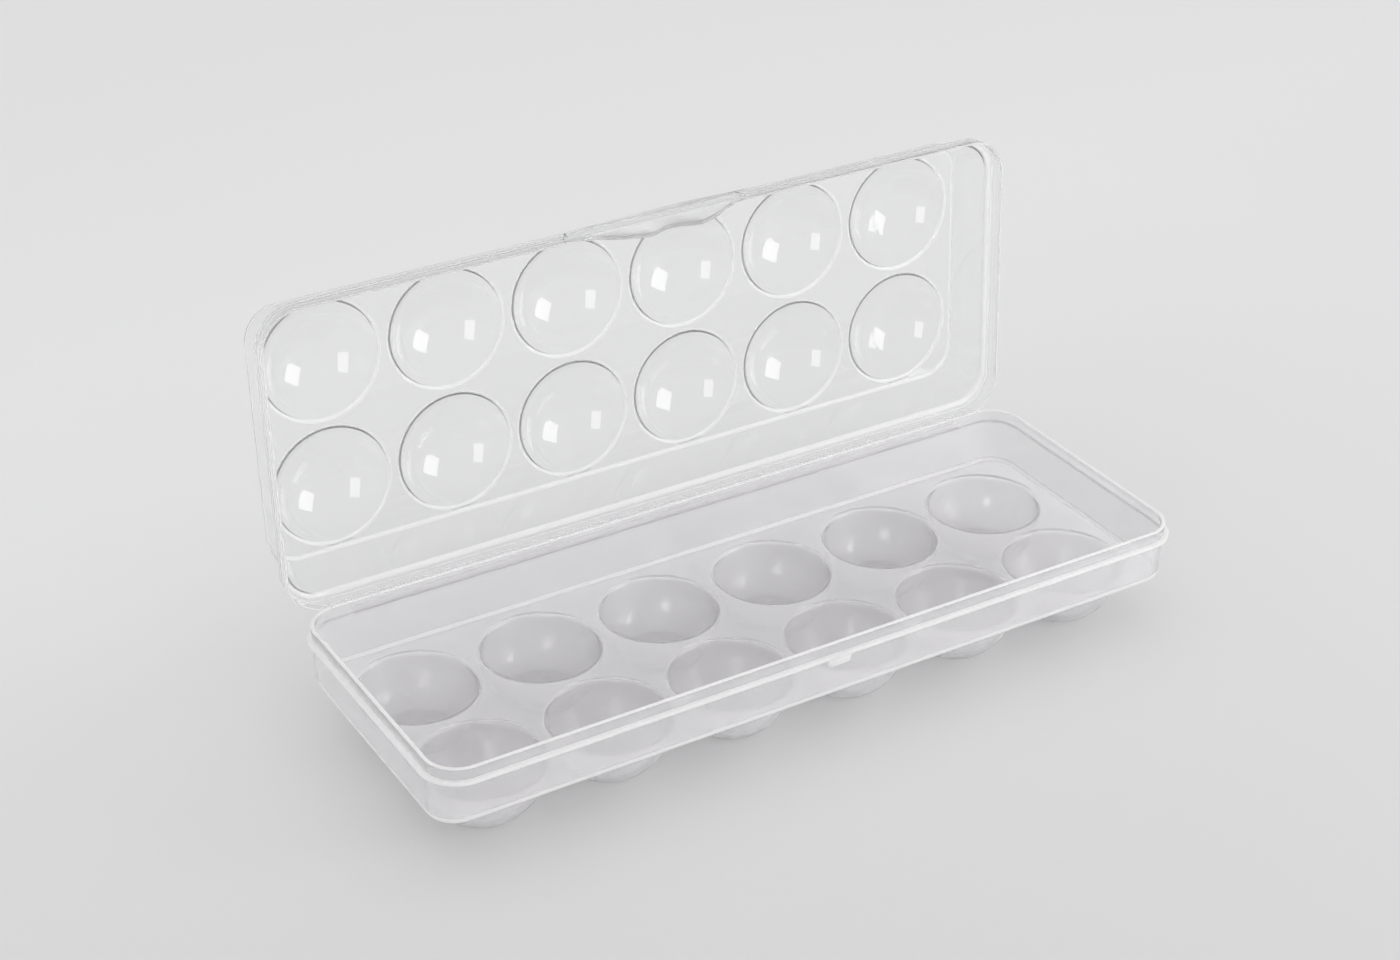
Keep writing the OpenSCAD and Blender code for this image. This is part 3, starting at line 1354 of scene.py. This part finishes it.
def direction(azimuth: float, elevation: float) -> Vector:
    """The way from the keeper to a camera or lamp.

    Args:
        azimuth: Degrees, 0 in front and positive to the right.
        elevation: Degrees above the table.

    Returns:
        A vector of length 1.
    """
    a, e = math.radians(azimuth), math.radians(elevation)
    return Vector((math.sin(a) * math.cos(e), -math.cos(a) * math.cos(e), math.sin(e)))


@dataclass(frozen=True)
class SoftBox:
    """A soft box aimed at the keeper, with angles in degrees."""

    name: str
    azimuth: float
    elevation: float
    distance: float
    size: tuple[float, float]
    radiance: float
    turn: float = 0.0
    aim: tuple[float, float, float] = (0.0, 0.06, 0.06)

    def hang(self) -> None:
        """Hangs the lamp, turned in its own plane."""
        towards = direction(self.azimuth, self.elevation)
        data = bpy.data.lights.new(self.name, "AREA")
        data.shape = "RECTANGLE"
        data.size, data.size_y = self.size
        data.energy = self.radiance * math.pi * self.size[0] * self.size[1]
        lamp = bpy.data.objects.new(self.name, data)
        lamp.location = Vector(self.aim) + towards * self.distance
        lamp.rotation_mode = "QUATERNION"
        lamp.rotation_quaternion = towards.to_track_quat("Z", "Y") @ Quaternion(
            (0.0, 0.0, 1.0), math.radians(self.turn)
        )
        bpy.context.scene.collection.objects.link(lamp)


BOXES = (
    SoftBox(
        name="box_right",
        azimuth=45.0,
        elevation=12.0,
        distance=0.9,
        size=(0.46, 0.46),
        radiance=3.2,
        turn=45.0,
    ),
    SoftBox(
        name="box_left",
        azimuth=-43.0,
        elevation=7.0,
        distance=1.3,
        size=(0.36, 1.0),
        radiance=2.4,
    ),
)


@dataclass
class Studio:
    """Floor, light and camera."""

    azimuth: float = -31.71
    elevation: float = 30.10
    roll: float = 0.52
    distance: float = 0.94875
    target: tuple[float, float, float] = (21.66 * MM, 69.59 * MM, 33.5 * MM)
    focal_px: float = 2598.4
    frame_px: float = 1400.0
    # Painted shade: the floor is darker in front than behind.
    shaded_near_tone: float = 0.7
    far_tone: float = 0.92
    room_tone: float = 0.38
    ceiling_tone: float = 0.98
    backdrop_tone: float = 0.74
    floor_radius: float = 6.0
    floor_shade_fade: tuple[float, float] = (-0.35, 0.45)
    floor_mottle: float = 0.12

    def camera(self) -> None:
        """Places the camera as the photograph was taken."""
        back = direction(self.azimuth, self.elevation)
        right = (-back).cross(Vector((0, 0, 1))).normalized()
        up = right.cross(-back)
        r = math.radians(self.roll)
        across = right * math.cos(r) + up * math.sin(r)
        upward = up * math.cos(r) - right * math.sin(r)
        data = bpy.data.cameras.new("camera")
        data.sensor_fit = "HORIZONTAL"
        data.sensor_width = 36.0
        data.lens = self.focal_px / self.frame_px * data.sensor_width
        data.clip_start, data.clip_end = 0.05, 50.0
        camera = bpy.data.objects.new("camera", data)
        turned = Matrix((across, upward, back)).transposed().to_4x4()
        spot = Vector(self.target) + back * self.distance
        camera.matrix_world = Matrix.Translation(spot) @ turned
        bpy.context.scene.collection.objects.link(camera)
        bpy.context.scene.camera = camera

    def light(self) -> None:
        """Sets the two soft boxes and a pale room that is brighter overhead."""
        for box in BOXES:
            box.hang()
        world = bpy.data.worlds.new("room")
        world.use_nodes = True
        tree = world.node_tree
        nodes = tree.nodes
        lit = nodes["Background"]
        lit.inputs["Color"].default_value = (1.0, 1.0, 1.0, 1.0)
        place = nodes.new("ShaderNodeTexCoord")
        split = nodes.new("ShaderNodeSeparateXYZ")
        height = nodes.new("ShaderNodeMapRange")
        height.inputs["From Min"].default_value = 0.0
        height.inputs["From Max"].default_value = 1.0
        height.inputs["To Min"].default_value = self.room_tone
        height.inputs["To Max"].default_value = self.ceiling_tone
        link(tree, place.outputs["Generated"], split.inputs["Vector"])
        link(tree, split.outputs["Z"], height.inputs["Value"])
        link(tree, height.outputs["Result"], lit.inputs["Strength"])
        seen = nodes.new("ShaderNodeBackground")
        seen.inputs["Color"].default_value = (*[self.backdrop_tone] * 3, 1.0)
        path = nodes.new("ShaderNodeLightPath")
        looks = path.outputs["Is Camera Ray"]
        for ray in ("Is Glossy Ray", "Is Transmission Ray"):
            either = nodes.new("ShaderNodeMath")
            either.operation = "MAXIMUM"
            link(tree, looks, either.inputs[0])
            link(tree, path.outputs[ray], either.inputs[1])
            looks = either.outputs[0]
        which = nodes.new("ShaderNodeMixShader")
        link(tree, looks, which.inputs["Fac"])
        link(tree, lit.outputs["Background"], which.inputs[1])
        link(tree, seen.outputs["Background"], which.inputs[2])
        link(tree, which.outputs["Shader"], nodes["World Output"].inputs["Surface"])
        bpy.context.scene.world = world

    def floor(self) -> None:
        """Lays the pale floor, with painted shade darkening it towards the front."""
        floor = new_piece("floor")
        with editing(floor):
            bpy.ops.mesh.primitive_circle_add(
                vertices=96, radius=self.floor_radius, fill_type="NGON", location=(0, 0, 0)
            )
        material = bpy.data.materials.new("pale_floor")
        material.use_nodes = True
        tree = material.node_tree
        shader = tree.nodes["Principled BSDF"]
        place = tree.nodes.new("ShaderNodeTexCoord")
        cloud = tree.nodes.new("ShaderNodeTexNoise")
        cloud.inputs["Scale"].default_value = 3.0
        split = tree.nodes.new("ShaderNodeSeparateXYZ")
        # Painted shade: the floor's colour runs from the darker near tone at the front to
        # the far tone behind.
        depth = tree.nodes.new("ShaderNodeMapRange")
        depth.interpolation_type = "SMOOTHSTEP"
        depth.inputs["From Min"].default_value = self.floor_shade_fade[0]
        depth.inputs["From Max"].default_value = self.floor_shade_fade[1]
        mottle = tree.nodes.new("ShaderNodeMath")
        mottle.operation = "MULTIPLY_ADD"
        mottle.inputs[1].default_value = self.floor_mottle
        ramp = tree.nodes.new("ShaderNodeMix")
        ramp.data_type = "RGBA"
        ramp.inputs["A"].default_value = (*[self.shaded_near_tone] * 3, 1.0)
        ramp.inputs["B"].default_value = (*[self.far_tone] * 3, 1.0)
        link(tree, place.outputs["Object"], cloud.inputs["Vector"])
        link(tree, place.outputs["Object"], split.inputs["Vector"])
        link(tree, split.outputs["Y"], depth.inputs["Value"])
        link(tree, cloud.outputs["Fac"], mottle.inputs[0])
        link(tree, depth.outputs["Result"], mottle.inputs[2])
        link(tree, mottle.outputs[0], ramp.inputs["Factor"])
        link(tree, ramp.outputs["Result"], shader.inputs["Base Color"])
        shader.inputs["Roughness"].default_value = 0.6
        shader.inputs["Specular IOR Level"].default_value = 0.2
        floor.data.materials.append(material)

    def set_up(self) -> None:
        """Makes the whole studio."""
        self.camera()
        self.light()
        self.floor()
        bpy.context.scene.view_settings.view_transform = "Standard"


def main() -> None:
    """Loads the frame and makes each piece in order."""
    logging.basicConfig(level=logging.INFO, format="%(name)s: %(message)s")
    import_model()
    Studio().set_up()
    cells = Cells()
    tray = Tray(cells)
    lid = Lid(cells)
    tray.build()
    Catch(tray).build()
    lid.build()
    Tab(lid).build()
    FilmHinge(tray, lid).build()


if __name__ == "__main__":
    main()
